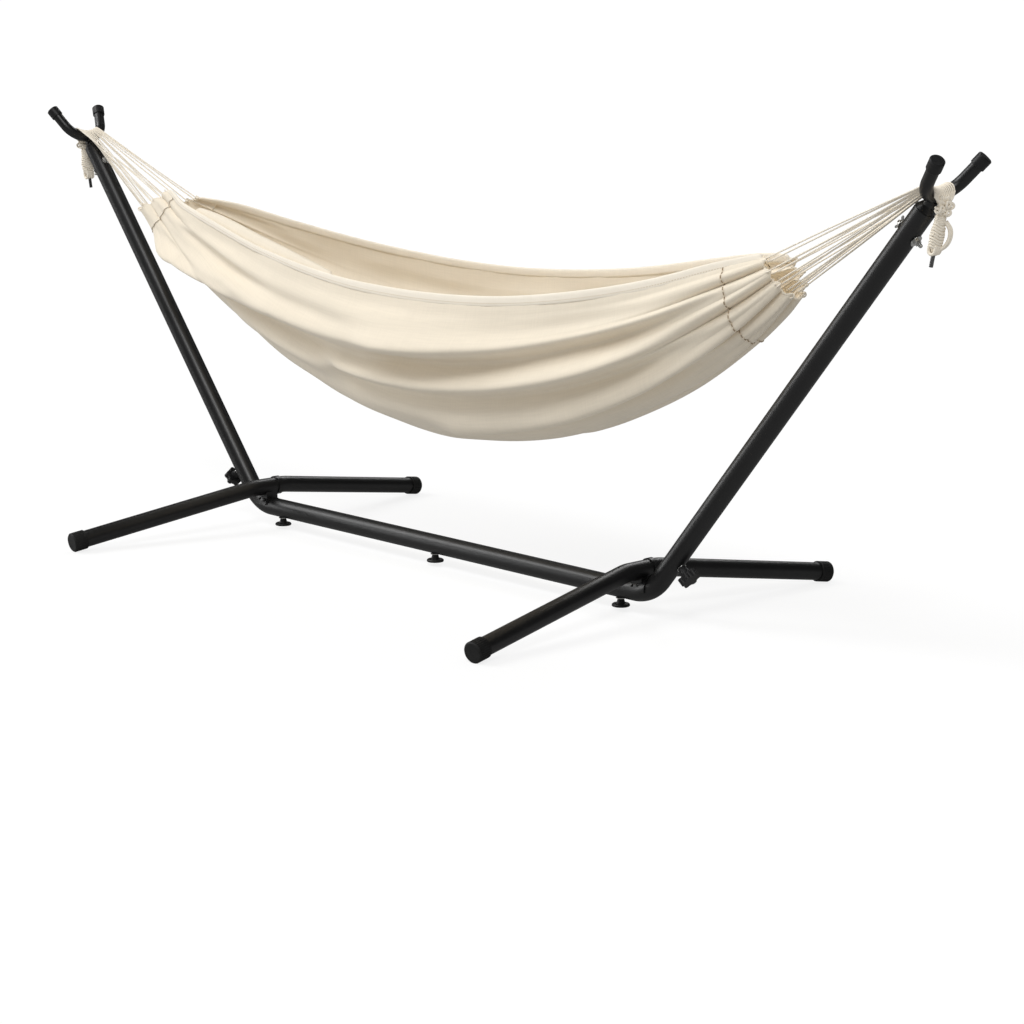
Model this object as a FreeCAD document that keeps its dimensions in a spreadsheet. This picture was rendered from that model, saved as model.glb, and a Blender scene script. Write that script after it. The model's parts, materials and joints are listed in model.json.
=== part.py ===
"""A hammock hung on a free-standing steel tube stand, in millimetres.

The stand is a beam on the floor line with an elbow and a straight arm at each end.
A two-piece leg crosses the beam at each elbow, and a forked hook plugs into each arm.
The origin is on the floor at the middle of the stand.  +X runs along the beam,
-Y is the near side and +Z is up.  Pieces on the right (+X) side are made first and
the left ones are their mirror images in the YZ plane.
"""
import FreeCAD, Part

import math
import os

import Sketcher

V = FreeCAD.Vector
X_AXIS, Y_AXIS, Z_AXIS = V(1, 0, 0), V(0, 1, 0), V(0, 0, 1)

SIZES = (
    # main tube: the beam, the elbows and the arms
    ("tube_od", 45.0),
    ("tube_wall", 1.5),
    ("beam_z", 51.0),
    ("corner_x", 688.4),
    ("arm_angle", 50.8),
    ("elbow_radius", 100.0),
    ("seam_gap", 2.5),
    ("beam_spigot", 80.0),
    ("arm_spigot", 100.0),
    ("arm_end", 1118.0),
    ("slip_fit", 0.05),
    ("spigot_wall", 1.5),
    # crossing legs
    ("leg_od", 41.0),
    ("leg_wall", 1.5),
    ("leg_x", 658.0),
    ("leg_z", 99.5),
    ("leg_bend_y", 48.0),
    ("leg_bend_radius", 120.0),
    ("leg_end_x", 720.0),
    ("leg_end_y", 547.0),
    ("leg_end_z", 22.3),
    ("leg_seam_y", 27.0),
    ("leg_plug", 40.0),
    ("collar_od", 46.0),
    ("collar_width", 14.0),
    ("cap_od", 47.0),
    ("cap_length", 35.0),
    ("cap_floor", 4.0),
    ("cap_groove", 0.9),
    ("cap_grooves", 30.0),
    # saddle plate between elbow and leg
    ("saddle_plate", 3.0),
    ("saddle_length", 52.0),
    ("saddle_block", 34.0),
    ("saddle_screw_pitch", 17.0),
    ("screw_head_od", 7.0),
    ("screw_head_height", 2.6),
    ("screw_od", 4.0),
    # forked hook
    ("horn_od", 26.0),
    ("horn_wall", 1.5),
    ("horn_radius", 58.0),
    ("horn_angle", 72.0),
    ("horn_straight", 57.0),
    ("horn_base", 1152.0),
    ("horn_cap_od", 31.0),
    ("horn_cap_length", 25.0),
    ("neck_plug", 120.0),
    ("neck_top_od", 28.0),
    # threaded parts
    ("stud_od", 8.0),
    ("nut_flats", 13.0),
    ("nut_height", 6.5),
    ("washer_height", 1.6),
    ("bolt_at", 1058.0),
    ("big_washer_od", 26.0),
    ("wing_washer_od", 20.0),
    ("wing_span", 31.0),
    ("wing_height", 9.0),
    # screw-down feet under the beam
    ("disc_x", 597.0),
    ("middle_disc_x", -17.0),
    ("disc_od", 40.0),
    ("disc_height", 6.0),
    ("disc_clear", 9.0),
    ("disc_hub_od", 20.0),
    ("small_washer_od", 22.0),
    # star knobs on the arms
    ("star_at", 112.0),
    ("star_od", 47.0),
    ("star_height", 16.0),
    ("star_hub_od", 24.0),
    ("star_top", 60.0),
    # hammock
    ("fabric", 4.0),
    ("hem_height", 16.0),
    ("band_length", 88.0),
    ("cord_od", 3.4),
    ("strap", 6.5),
    ("cord_count", 16.0),
    ("cord_fan", 32.0),
    ("hank_x", 1438.5),
    ("hank_top", 941.0),
    ("hank_lean", 11.5),
    ("hank_length", 104.0),
    ("hank_width", 37.0),
    ("hank_depth", 22.0),
    ("pin_od", 8.0),
    ("pin_length", 98.0),
    ("pin_drop", 30.0),
)

# The bed's cross-sections from left to right: place along X of the hems and of the belly's
# lowest line, half width between the hems, and heights of the near hem, far hem and belly.
BED_SECTIONS = (
    (-992.0, -1155.0, 58.0, 824.0, 818.0, 772.0),
    (-880.0, -985.0, 84.0, 812.0, 803.0, 663.0),
    (-700.0, -740.0, 122.0, 781.0, 768.0, 543.0),
    (-450.0, -460.0, 168.0, 737.0, 728.0, 424.0),
    (0.0, 0.0, 205.0, 684.0, 698.0, 328.0),
    (450.0, 450.0, 168.0, 691.0, 729.0, 372.0),
    (760.0, 775.0, 108.0, 745.0, 777.0, 503.0),
    (930.0, 960.0, 66.0, 794.0, 803.0, 623.0),
    (1030.0, 1086.0, 38.0, 818.0, 812.0, 735.0),
)

doc = FreeCAD.newDocument("hammock_on_stand")


# ---------------------------------------------------------------- sizes and helpers

def make_sheet():
    """Fill the sheet with one aliased cell per driving size."""
    sheet = doc.addObject("Spreadsheet::Sheet", "Dims")
    for row, (alias, value) in enumerate(SIZES, start=1):
        cell = "A%d" % row
        sheet.set(cell, str(value))
        sheet.setAlias(cell, alias)
    doc.recompute()
    return sheet


sheet = make_sheet()
parts = []


def size(alias):
    """The value of one cell of the sheet."""
    return float(sheet.get(alias))


def dims(expression):
    """Write the sheet's name before each alias in an expression."""
    words = sorted((alias for alias, value in SIZES), key=len, reverse=True)
    pieces = [expression]
    for word in words:
        split = []
        for piece in pieces:
            if piece.startswith("Dims."):
                split.append(piece)
                continue
            halves = piece.split(word)
            for half in halves[:-1]:
                split += [half, "Dims." + word]
            split.append(halves[-1])
        pieces = split
    return "".join(pieces)


def bind(obj, **expressions):
    """Bind properties of an object to expressions of the sheet's cells."""
    for prop, expression in expressions.items():
        obj.setExpression(prop, dims(expression))
    return obj


def keep(obj, label):
    """Give a finished sub-part its name."""
    obj.Label = label
    parts.append(obj)
    return obj


def along(origin, direction):
    """A placement at an origin with its Z axis along a direction."""
    return FreeCAD.Placement(origin, FreeCAD.Rotation(Z_AXIS, direction))


def framed(origin, x_dir, z_dir):
    """A placement at an origin with given X and Z axes."""
    return FreeCAD.Placement(origin, FreeCAD.Rotation(x_dir, z_dir.cross(x_dir), z_dir, "ZXY"))


def rod(radius, length, origin, direction):
    """A cylinder whose radius and height are expressions."""
    obj = doc.addObject("Part::Cylinder", "rod")
    bind(obj, Radius=radius, Height=length)
    obj.Placement = along(origin, direction)
    return obj


def cone(radius_1, radius_2, length, origin, direction):
    """A truncated cone whose radii and height are expressions."""
    obj = doc.addObject("Part::Cone", "cone")
    bind(obj, Radius1=radius_1, Radius2=radius_2, Height=length)
    obj.Placement = along(origin, direction)
    return obj


def block(length, width, height, corner):
    """A box whose sides are expressions, from its lowest corner."""
    obj = doc.addObject("Part::Box", "block")
    bind(obj, Length=length, Width=width, Height=height)
    obj.Placement = FreeCAD.Placement(corner, FreeCAD.Rotation())
    return obj


def hexagon(height, origin, direction):
    """A hexagonal prism with the nut's width across its flats."""
    obj = doc.addObject("Part::Prism", "hexagon")
    obj.Polygon = 6
    bind(obj, Circumradius="nut_flats / sqrt(3)", Height=height)
    obj.Placement = along(origin, direction)
    return obj


def fuse(*shapes):
    """One solid from several."""
    obj = doc.addObject("Part::MultiFuse", "fuse")
    obj.Shapes = list(shapes)
    obj.Refine = True
    return obj


def cut(base, *tools):
    """A shape less its tools."""
    obj = doc.addObject("Part::Cut", "cut")
    obj.Base = base
    obj.Tool = tools[0] if len(tools) == 1 else fuse(*tools)
    return obj


def group(*shapes):
    """Several separate solids in one node."""
    obj = doc.addObject("Part::Compound", "group")
    obj.Links = list(shapes)
    return obj


def mirror(source, normal=X_AXIS):
    """The mirror image of an object in a plane through the origin."""
    obj = doc.addObject("Part::Mirroring", "mirror")
    obj.Source = source
    obj.Normal = normal
    return obj


def both_sides(source, name):
    """Keep a right-hand piece and its mirror image on the left."""
    keep(source, "right_" + name)
    keep(mirror(source), "left_" + name)
    return source


def bend(radius, bend_radius, corner, dir_in, dir_out):
    """A tube's bend at a corner of its route: part of a torus."""
    turn = dir_in.getAngle(dir_out)
    reach = size(bend_radius) * math.tan(turn / 2)
    start = corner - dir_in * reach
    axis = dir_in.cross(dir_out).normalize()
    outward = dir_in.cross(axis)
    obj = doc.addObject("Part::Torus", "bend")
    bind(obj, Radius1=bend_radius, Radius2=radius)
    obj.Angle3 = math.degrees(turn)
    obj.Placement = framed(start - outward * size(bend_radius), outward, axis)
    return obj, reach


def route(points, radius, bend_radius):
    """A round bar along straight runs joined by bends of one radius."""
    runs = [(b - a).normalize() for a, b in zip(points, points[1:])]
    pieces = []
    start = points[0]
    for corner, dir_in, dir_out in zip(points[1:-1], runs, runs[1:]):
        elbow, reach = bend(radius, bend_radius, corner, dir_in, dir_out)
        stop = corner - dir_in * reach
        pieces += [rod(radius, "%.6f" % (stop - start).Length, start, dir_in), elbow]
        start = corner + dir_out * reach
    pieces.append(rod(radius, "%.6f" % (points[-1] - start).Length, start, runs[-1]))
    return fuse(*pieces)


def origin_plane(body, role):
    """One of a body's own origin planes."""
    return next(f for f in body.Origin.OriginFeatures if f.Role == role)


def profile(body, plane, corners):
    """A closed outline whose corners are pairs of expressions, each zero or more."""
    sketch = body.newObject("Sketcher::SketchObject", "profile")
    sketch.AttachmentSupport = (origin_plane(body, plane), [""])
    sketch.MapMode = "FlatFace"
    rough = [tuple(sheet_value(text) for text in corner) for corner in corners]
    ends = rough[1:] + rough[:1]
    for (x1, y1), (x2, y2) in zip(rough, ends):
        sketch.addGeometry(Part.LineSegment(V(x1, y1, 0), V(x2, y2, 0)), False)
    count = len(corners)
    for i in range(count):
        sketch.addConstraint(Sketcher.Constraint("Coincident", i, 2, (i + 1) % count, 1))
    for i, corner in enumerate(corners):
        for kind, axis, text, value in zip(("DistanceX", "DistanceY"), (-2, -1), corner, rough[i]):
            if value == 0:
                sketch.addConstraint(Sketcher.Constraint("PointOnObject", i, 1, axis))
                continue
            index = sketch.addConstraint(Sketcher.Constraint(kind, -1, 1, i, 1, value))
            sketch.setExpression("Constraints[%d]" % index, dims(text))
    return sketch


def sheet_value(text):
    """The number that an expression gives now."""
    scratch = sheet.evalExpression(dims(text).replace("Dims.", ""))
    return float(getattr(scratch, "Value", scratch))


def turned(name, corners):
    """A body turned about its Z axis from corners (radius, height)."""
    body = doc.addObject("PartDesign::Body", name)
    sketch = profile(body, "XZ_Plane", corners)
    feature = body.newObject("PartDesign::Revolution", "turn")
    feature.Profile = sketch
    feature.ReferenceAxis = (sketch, ["V_Axis"])
    feature.Angle = 360
    body.Tip = feature
    doc.recompute()
    return body


def ring(name, outer, inner, height):
    """A washer or collar standing on its own XY plane."""
    return turned(name, ((inner, "0"), (outer, "0"), (outer, height), (inner, height)))


# ---------------------------------------------------------------- shared directions and places

ARM = V(math.cos(math.radians(size("arm_angle"))), 0, math.sin(math.radians(size("arm_angle"))))
OUTER = V(ARM.z, 0, -ARM.x)
CORNER = V(size("corner_x"), 0, size("beam_z"))
BEND_REACH = size("elbow_radius") * math.tan(math.radians(size("arm_angle")) / 2)
BEAM_SEAM = CORNER - X_AXIS * (BEND_REACH + size("seam_gap"))
ARM_SEAM = BEND_REACH + size("seam_gap")
HORN_FOOT = CORNER + ARM * size("horn_base")
STUD_HOLE = "stud_od / 2 + slip_fit"
PILOT = "stud_od / 2 + 1.5"


def on_arm(distance, off=0.0):
    """A point on the right arm's axis, or off it towards its outer side."""
    return CORNER + ARM * distance + OUTER * off


# ---------------------------------------------------------------- main tube

def make_beam():
    """The beam on the floor line, with a hole in its underside for each screw-down foot."""
    seam = BEAM_SEAM.x
    start = V(-seam, 0, size("beam_z"))
    length = "%.6f" % (2 * seam)
    holes = []
    for x in (-size("disc_x"), size("disc_x")):
        holes.append(rod(STUD_HOLE, "tube_od / 2", V(x, 0, 0) + Z_AXIS * 25, Z_AXIS))
    holes.append(rod(PILOT, "tube_od / 2", V(size("middle_disc_x"), 0, 25), Z_AXIS))
    bore = rod("tube_od / 2 - tube_wall", length, start, X_AXIS)
    keep(cut(rod("tube_od / 2", length, start, X_AXIS), bore, *holes), "centre_beam")


def make_elbows():
    """A bend that carries the tube round into the arm, with a plug end for each neighbour."""
    plug = "tube_od / 2 - tube_wall - slip_fit"
    beam_end = BEAM_SEAM - X_AXIS * size("beam_spigot")
    arm_end = on_arm(ARM_SEAM + size("arm_spigot"))
    points = (beam_end, CORNER, arm_end)
    skin = route((BEAM_SEAM, CORNER, on_arm(ARM_SEAM)), "tube_od / 2", "elbow_radius")
    core = route(points, plug, "elbow_radius")
    bore = route(points, plug + " - spigot_wall", "elbow_radius")
    foot = rod(PILOT, "tube_od / 2", V(size("disc_x"), 0, 25), Z_AXIS)
    star = rod(PILOT, "tube_od / 2", on_arm(size("star_at"), 5), OUTER)
    screws = [rod("screw_od / 2", "30", at + way * 14, way) for at, way in saddle_screw_places()]
    both_sides(cut(fuse(skin, core), bore, foot, star, *screws), "elbow")


def make_arms():
    """A straight tube from each elbow up to its hook."""
    length = "arm_end - %.6f" % ARM_SEAM
    start = on_arm(ARM_SEAM)
    bore = rod("tube_od / 2 - tube_wall", length, start, ARM)
    star = rod(STUD_HOLE, "tube_od", on_arm(size("star_at")), OUTER)
    bolt = rod(STUD_HOLE, "2 * tube_od", on_arm(size("bolt_at"), -size("tube_od")), OUTER)
    both_sides(cut(rod("tube_od / 2", length, start, ARM), bore, star, bolt), "arm_tube")


# ---------------------------------------------------------------- legs

LEG_CENTRE = V(size("leg_x"), 0, size("leg_z"))
LEG_CORNER = V(size("leg_x"), -size("leg_bend_y"), size("leg_z"))
LEG_END = V(size("leg_end_x"), -size("leg_end_y"), size("leg_end_z"))
LEG_WAY = (LEG_END - LEG_CORNER).normalize()


def leg_points(seam_y, stop):
    """A leg's route from its seam to a distance short of its capped end."""
    return (V(size("leg_x"), seam_y, size("leg_z")), LEG_CORNER, LEG_END - LEG_WAY * stop)


def make_legs():
    """The near leg passes over the elbow, and the far leg plugs into its end."""
    seam = size("leg_seam_y")
    inner = "leg_od / 2 - leg_wall"
    near_run = leg_points(seam, size("cap_floor"))
    near = cut(route(near_run, "leg_od / 2", "leg_bend_radius"),
               route(near_run, inner, "leg_bend_radius"))
    both_sides(near, "near_leg")
    far_run = leg_points(-seam, size("cap_floor"))
    skin = route(far_run, "leg_od / 2", "leg_bend_radius")
    plug_start = V(size("leg_x"), size("leg_plug") - seam, size("leg_z"))
    plug_bore = rod(inner + " - slip_fit - spigot_wall", "leg_plug + 6", plug_start, -Y_AXIS)
    plug = rod(inner + " - slip_fit", "leg_plug + 1", plug_start, -Y_AXIS)
    past_seam = V(size("leg_x"), -seam - 5, size("leg_z"))
    bore_run = (past_seam, LEG_CORNER, LEG_END - LEG_WAY * size("cap_floor"))
    bore = route(bore_run, inner, "leg_bend_radius")
    both_sides(mirror(cut(fuse(skin, plug), plug_bore, bore), Y_AXIS), "far_leg")


def make_collars():
    """A ring over the seam between a leg's two pieces."""
    collar = ring("collar", "collar_od / 2", "leg_od / 2", "collar_width")
    start = LEG_CENTRE + Y_AXIS * (size("leg_seam_y") - size("collar_width") / 2)
    collar.Placement = along(start, Y_AXIS)
    both_sides(collar, "leg_collar")


def make_leg_caps():
    """Ribbed rubber end caps, each with a small flat where it stands on the floor."""
    cap = turned("leg_cap", (
        ("0", "0"),
        ("cap_od / 2 - 3", "0"),
        ("cap_od / 2", "3"),
        ("cap_od / 2", "cap_length - 1"),
        ("cap_od / 2 - 1", "cap_length"),
        ("leg_od / 2", "cap_length"),
        ("leg_od / 2", "cap_floor"),
        ("0", "cap_floor"),
    ))
    sketch = cap.newObject("Sketcher::SketchObject", "groove_outline")
    sketch.AttachmentSupport = (origin_plane(cap, "XY_Plane"), [""])
    sketch.MapMode = "FlatFace"
    sketch.addGeometry(Part.Circle(V(size("cap_od") / 2, 0, 0), Z_AXIS, size("cap_groove")), False)
    sketch.addConstraint(Sketcher.Constraint("PointOnObject", 0, 3, -1))
    away = sketch.addConstraint(Sketcher.Constraint("DistanceX", -1, 1, 0, 3, size("cap_od") / 2))
    sketch.setExpression("Constraints[%d]" % away, dims("cap_od / 2"))
    wide = sketch.addConstraint(Sketcher.Constraint("Radius", 0, size("cap_groove")))
    sketch.setExpression("Constraints[%d]" % wide, dims("cap_groove"))
    groove = cap.newObject("PartDesign::Pocket", "groove")
    groove.Profile = sketch
    groove.Type = 0
    bind(groove, Length="cap_length - 5")
    groove.Reversed = True
    cap.Tip = groove
    doc.recompute()
    pattern = cap.newObject("PartDesign::PolarPattern", "grooves")
    pattern.Originals = [groove]
    pattern.Axis = (sketch, ["N_Axis"])
    pattern.Angle = 360
    pattern.Occurrences = int(size("cap_grooves"))
    cap.Tip = pattern
    doc.recompute()
    cap.Placement = along(LEG_END, -LEG_WAY)
    floor = block("200", "200", "50", LEG_END - V(100, 100, LEG_END.z + 50))
    near = both_sides(cut(cap, floor), "near_leg_cap")
    both_sides(mirror(near, Y_AXIS), "far_leg_cap")


# ---------------------------------------------------------------- saddles under the legs

def saddle_screw_places():
    """Where the saddle's screws enter the elbow, and which way each one stands."""
    places = []
    spread = math.radians(52.0)
    for x in (-0.5, 0.5):
        middle = V(size("leg_x") + x * size("saddle_screw_pitch"), 0, 0)
        lift = middle.x - (BEAM_SEAM.x + size("seam_gap"))
        radius = size("elbow_radius")
        middle.z = size("beam_z") + radius - math.sqrt(radius ** 2 - lift ** 2)
        for side in (-1, 1):
            places.append((middle, V(0, side * math.sin(spread), math.cos(spread))))
    return places


def make_saddles():
    """A plate wrapped over the elbow, with a block hollowed for the leg that it carries."""
    outer = "tube_od / 2 + saddle_plate"
    shell = route((BEAM_SEAM, CORNER, on_arm(ARM_SEAM)), outer, "elbow_radius")
    tube = route((BEAM_SEAM - X_AXIS * 5, CORNER, on_arm(ARM_SEAM + 5)), "tube_od / 2", "elbow_radius")
    half = size("saddle_length") / 2
    window = block("saddle_length", "80", "60", V(size("leg_x") - half + 6, -40, size("beam_z") + 6))
    plate = doc.addObject("Part::Common", "plate")
    plate.Base = shell
    plate.Tool = window
    pad = size("saddle_block") / 2
    chock = block("saddle_block", "saddle_block", "20", V(size("leg_x") - pad, -pad, size("leg_z") - 28))
    leg = rod("leg_od / 2", "120", LEG_CENTRE - Y_AXIS * 60, Y_AXIS)
    screws = [rod("screw_od / 2 + slip_fit", "30", at + way * 14, way) for at, way in saddle_screw_places()]
    heads = [rod("screw_head_od / 2 + slip_fit", "8", at + way * screw_seat(), way) for at, way in saddle_screw_places()]
    both_sides(cut(fuse(plate, chock), tube, leg, *screws, *heads), "foot_saddle")


def screw_seat():
    """How far a saddle screw's head sits from the elbow's middle line."""
    return size("tube_od") / 2 + size("saddle_plate") + 0.4


def make_saddle_screws():
    """Pan-head screws that hold each saddle to its elbow."""
    screws = []
    seat = screw_seat()
    for at, way in saddle_screw_places():
        screw = turned("saddle_screw", (
            ("0", "0"),
            ("screw_od / 2", "0"),
            ("screw_od / 2", "9"),
            ("screw_head_od / 2", "9"),
            ("screw_head_od / 2", "9 + screw_head_height / 2"),
            ("screw_head_od / 4", "9 + screw_head_height"),
            ("0", "9 + screw_head_height"),
        ))
        screw.Placement = along(at + way * (seat - 9), way)
        screws += [screw, mirror(screw)]
    keep(group(*screws), "saddle_screws")


# ---------------------------------------------------------------- forked hooks

HORN_SPREAD = math.radians(size("horn_angle"))


def horn_tip(side):
    """The middle of a horn's end face on the near (-1) or far (+1) side."""
    lateral = size("horn_radius") * math.sin(HORN_SPREAD) + size("horn_straight") * math.cos(HORN_SPREAD)
    rise = size("horn_radius") * (1 - math.cos(HORN_SPREAD)) + size("horn_straight") * math.sin(HORN_SPREAD)
    return HORN_FOOT + ARM * rise + Y_AXIS * (side * lateral)


def horn_way(side):
    """The direction in which a horn points."""
    return ARM * math.sin(HORN_SPREAD) + Y_AXIS * (side * math.cos(HORN_SPREAD))


def horn_route(stop):
    """The fork's route from one horn's tip round its foot to the other's."""
    rise = size("horn_radius") * (1 - 1 / math.cos(HORN_SPREAD))
    ends = [horn_tip(side) - horn_way(side) * stop for side in (-1, 1)]
    return (ends[0], HORN_FOOT + ARM * rise, ends[1])


def make_horns():
    """One tube bent into a fork, whose lowest point takes the hammock's cords."""
    points = horn_route(2.0)
    fork = route(points, "horn_od / 2", "horn_radius")
    bore = route(points, "horn_od / 2 - horn_wall", "horn_radius")
    both_sides(cut(fork, bore), "hook_horns")


def make_neck():
    """The hook's plug in the arm, drawn in above the arm's end and coped to the fork."""
    sunk = size("arm_end") - size("neck_plug")
    plug = "tube_od / 2 - tube_wall - slip_fit"
    neck = turned("neck", (
        (plug + " - 3", "0"),
        (plug, "0"),
        (plug, "neck_plug + 1"),
        ("neck_top_od / 2", "neck_plug + 13"),
        ("neck_top_od / 2", "neck_plug + 26"),
        ("neck_top_od / 2 - 3", "neck_plug + 26"),
        ("neck_top_od / 2 - 3", "neck_plug + 11"),
        (plug + " - 3", "neck_plug"),
    ))
    neck.Placement = along(on_arm(sunk), ARM)
    fork = route(horn_route(2.0), "horn_od / 2", "horn_radius")
    bolt = rod(STUD_HOLE, "2 * tube_od", on_arm(size("bolt_at"), -size("tube_od")), OUTER)
    both_sides(cut(neck, fork, bolt), "hook_neck")


def make_horn_caps():
    """Plastic caps over the horns' tips."""
    caps = []
    for side in (-1, 1):
        cap = turned("horn_cap", (
            ("0", "0"),
            ("horn_cap_od / 2 - 2", "0"),
            ("horn_cap_od / 2", "2"),
            ("horn_cap_od / 2", "horn_cap_length - 1"),
            ("horn_cap_od / 2 - 1", "horn_cap_length"),
            ("horn_od / 2", "horn_cap_length"),
            ("horn_od / 2", "2"),
            ("0", "2"),
        ))
        cap.Placement = along(horn_tip(side), -horn_way(side))
        caps += [cap, mirror(cap)]
    keep(group(*caps), "horn_caps")


# ---------------------------------------------------------------- bolts, nuts and washers

HALF_TUBE = size("tube_od") / 2


def make_hook_bolts():
    """A bolt through each arm and hook, with a nut outside and a wing nut inside."""
    inner_end = HALF_TUBE + size("washer_height") + size("wing_height") + 0.4
    shank = turned("hook_bolt", (
        ("0", "0"),
        ("stud_od / 2 - 1", "0"),
        ("stud_od / 2", "1"),
        ("stud_od / 2", "tube_od + 2 * washer_height + wing_height + nut_height + 8"),
        ("stud_od / 2 - 1.5", "tube_od + 2 * washer_height + wing_height + nut_height + 10"),
        ("0", "tube_od + 2 * washer_height + wing_height + nut_height + 11"),
    ))
    shank.Placement = along(on_arm(size("bolt_at"), -inner_end), OUTER)
    both_sides(shank, "hook_bolt")
    seat = on_arm(size("bolt_at"), HALF_TUBE)
    washer = ring("big_washer", "big_washer_od / 2", STUD_HOLE, "washer_height")
    washer.Placement = along(seat, OUTER)
    keep(group(washer, mirror(washer)), "hook_bolt_washers")
    bottom = seat + OUTER * size("washer_height")
    nut = cut(hexagon("nut_height", bottom, OUTER), rod("stud_od / 2", "nut_height", bottom, OUTER))
    keep(group(nut, mirror(nut)), "hook_bolt_nuts")
    inside = on_arm(size("bolt_at"), -HALF_TUBE)
    washer = ring("wing_washer", "wing_washer_od / 2", STUD_HOLE, "washer_height")
    washer.Placement = along(inside, -OUTER)
    both_sides(washer, "wing_washer")


def make_wing_nuts():
    """Two-winged nuts that clamp the hook bolts, turned by hand."""
    hub = turned("wing_hub", (
        (STUD_HOLE, "0"),
        ("stud_od / 2 + 4", "0"),
        ("stud_od / 2 + 2.5", "wing_height * 0.6"),
        (STUD_HOLE, "wing_height * 0.6"),
    ))
    wing = doc.addObject("PartDesign::Body", "wing")
    outline = profile(wing, "XZ_Plane", (
        ("stud_od / 2 + 1.5", "wing_height * 0.1"),
        ("wing_span / 2 - 4", "wing_height * 0.3"),
        ("wing_span / 2", "wing_height * 0.6"),
        ("wing_span / 2 - 0.5", "wing_height * 0.9"),
        ("wing_span / 2 - 3", "wing_height"),
        ("wing_span / 2 - 6", "wing_height * 0.9"),
        ("stud_od / 2 + 1.5", "wing_height * 0.55"),
    ))
    pad = wing.newObject("PartDesign::Pad", "wing_pad")
    pad.Profile = outline
    pad.Length = 2.4
    pad.Midplane = True
    wing.Tip = pad
    nut = fuse(hub, wing, mirror(wing))
    seat = on_arm(size("bolt_at"), -HALF_TUBE - size("washer_height") - size("slip_fit"))
    nut.Placement = framed(seat, ARM, -OUTER)
    both_sides(nut, "wing_nut")


def weld_nut(at, way):
    """A nut welded inside a tube, its round pilot standing through the wall."""
    body = hexagon("nut_height", at - way * size("nut_height"), way)
    pilot = rod(PILOT + " - slip_fit", "4.6", at - way * 1.5, way)
    return cut(fuse(body, pilot), rod(STUD_HOLE, "nut_height * 2", at - way * size("nut_height"), way))


# ---------------------------------------------------------------- screw-down feet and star knobs

def make_disc_feet():
    """Discs on studs under the beam: they lock its joints and screw down towards the floor."""
    hub_height = size("beam_z") - HALF_TUBE - size("washer_height") - size("slip_fit")
    hub_height -= size("disc_clear") + size("disc_height")
    top = size("disc_height") + hub_height
    nuts = []
    spots = (("left", -size("disc_x"), 17.0), ("middle", size("middle_disc_x"), 18.6),
             ("right", size("disc_x"), 17.0))
    for name, x, nut_off in spots:
        foot = turned(name + "_disc_body", (
            ("0", "0"),
            ("disc_od / 2 - 1", "0"),
            ("disc_od / 2", "1"),
            ("disc_od / 2", "disc_height - 2"),
            ("disc_od / 2 - 2", "disc_height"),
            ("disc_hub_od / 2", "disc_height"),
            ("disc_hub_od / 2 - 3", "%.6f" % top),
            ("stud_od / 2", "%.6f" % top),
            ("stud_od / 2", "%.6f" % (top + 26)),
            ("0", "%.6f" % (top + 26)),
        ))
        foot.Placement = FreeCAD.Placement(V(x, 0, size("disc_clear")), FreeCAD.Rotation())
        keep(foot, name + "_disc_foot")
        washer = ring(name + "_washer_body", "small_washer_od / 2", STUD_HOLE, "washer_height")
        seat = size("beam_z") - HALF_TUBE - size("washer_height")
        washer.Placement = FreeCAD.Placement(V(x, 0, seat), FreeCAD.Rotation())
        keep(washer, name + "_disc_washer")
        nuts.append(weld_nut(V(x, 0, size("beam_z") - nut_off), -Z_AXIS))
    keep(group(*nuts), "foot_weld_nuts")


def make_star_knobs():
    """Lobed knobs whose studs lock the arms onto the elbows."""
    seat = HALF_TUBE + size("washer_height")
    head = size("star_top") - size("star_height")
    at = on_arm(size("star_at"), seat + size("slip_fit"))
    washer = ring("star_washer_body", "small_washer_od / 2", STUD_HOLE, "washer_height")
    washer.Placement = along(on_arm(size("star_at"), HALF_TUBE), OUTER)
    both_sides(washer, "star_washer")
    stud = rod("stud_od / 2", "star_top - 8", on_arm(size("star_at"), 2), OUTER)
    both_sides(stud, "star_stud")
    hub = cone("star_hub_od / 2 - 3", "star_hub_od / 2", "%.6f" % (head - seat), at, OUTER)
    core_at = on_arm(size("star_at"), head)
    pieces = [hub, rod("star_od / 2 - 5", "star_height", core_at, OUTER)]
    for lobe in range(6):
        angle = math.radians(60 * lobe)
        ring_radius = size("star_od") / 2 - 6.5
        off = ARM * (ring_radius * math.cos(angle)) + Y_AXIS * (ring_radius * math.sin(angle))
        pieces.append(rod("6.5", "star_height", core_at + off, OUTER))
    hole = rod("stud_od / 2", "star_top - 8", on_arm(size("star_at"), 2), OUTER)
    both_sides(cut(fuse(*pieces), hole), "star_knob")
    nut = weld_nut(on_arm(size("star_at"), 17.0), OUTER)
    keep(group(nut, mirror(nut)), "arm_weld_nuts")


# ---------------------------------------------------------------- hammock

# A cross-section's outline from near hem to far hem: share of the half width, and share of
# the depth from that side's hem down to the belly.
SECTION_SHAPE = ((-1.0, 0.0), (-1.06, 0.33), (-0.74, 0.83), (0.0, 1.0), (0.74, 0.83), (1.06, 0.33), (1.0, 0.0))


def edge_x(section, z):
    """Where one cross-section, which leans along the bed, lies at a height."""
    hem_x, belly_x, half, near, far, belly = section
    hem_z = (near + far) / 2 - size("hem_height")
    lean = (belly_x - hem_x) / (hem_z - belly)
    return hem_x + lean * (hem_z - z)


def section_points(section, inset):
    """One cross-section's outline, moved in by an inset from the outer face."""
    half, near, far, belly = section[2:]
    points = []
    for across, down in SECTION_SHAPE:
        hem = (near if across < 0 else far) - size("hem_height")
        z = hem - (hem - belly - inset) * down
        points.append(V(edge_x(section, z), across * (half - inset), z))
    return points


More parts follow.
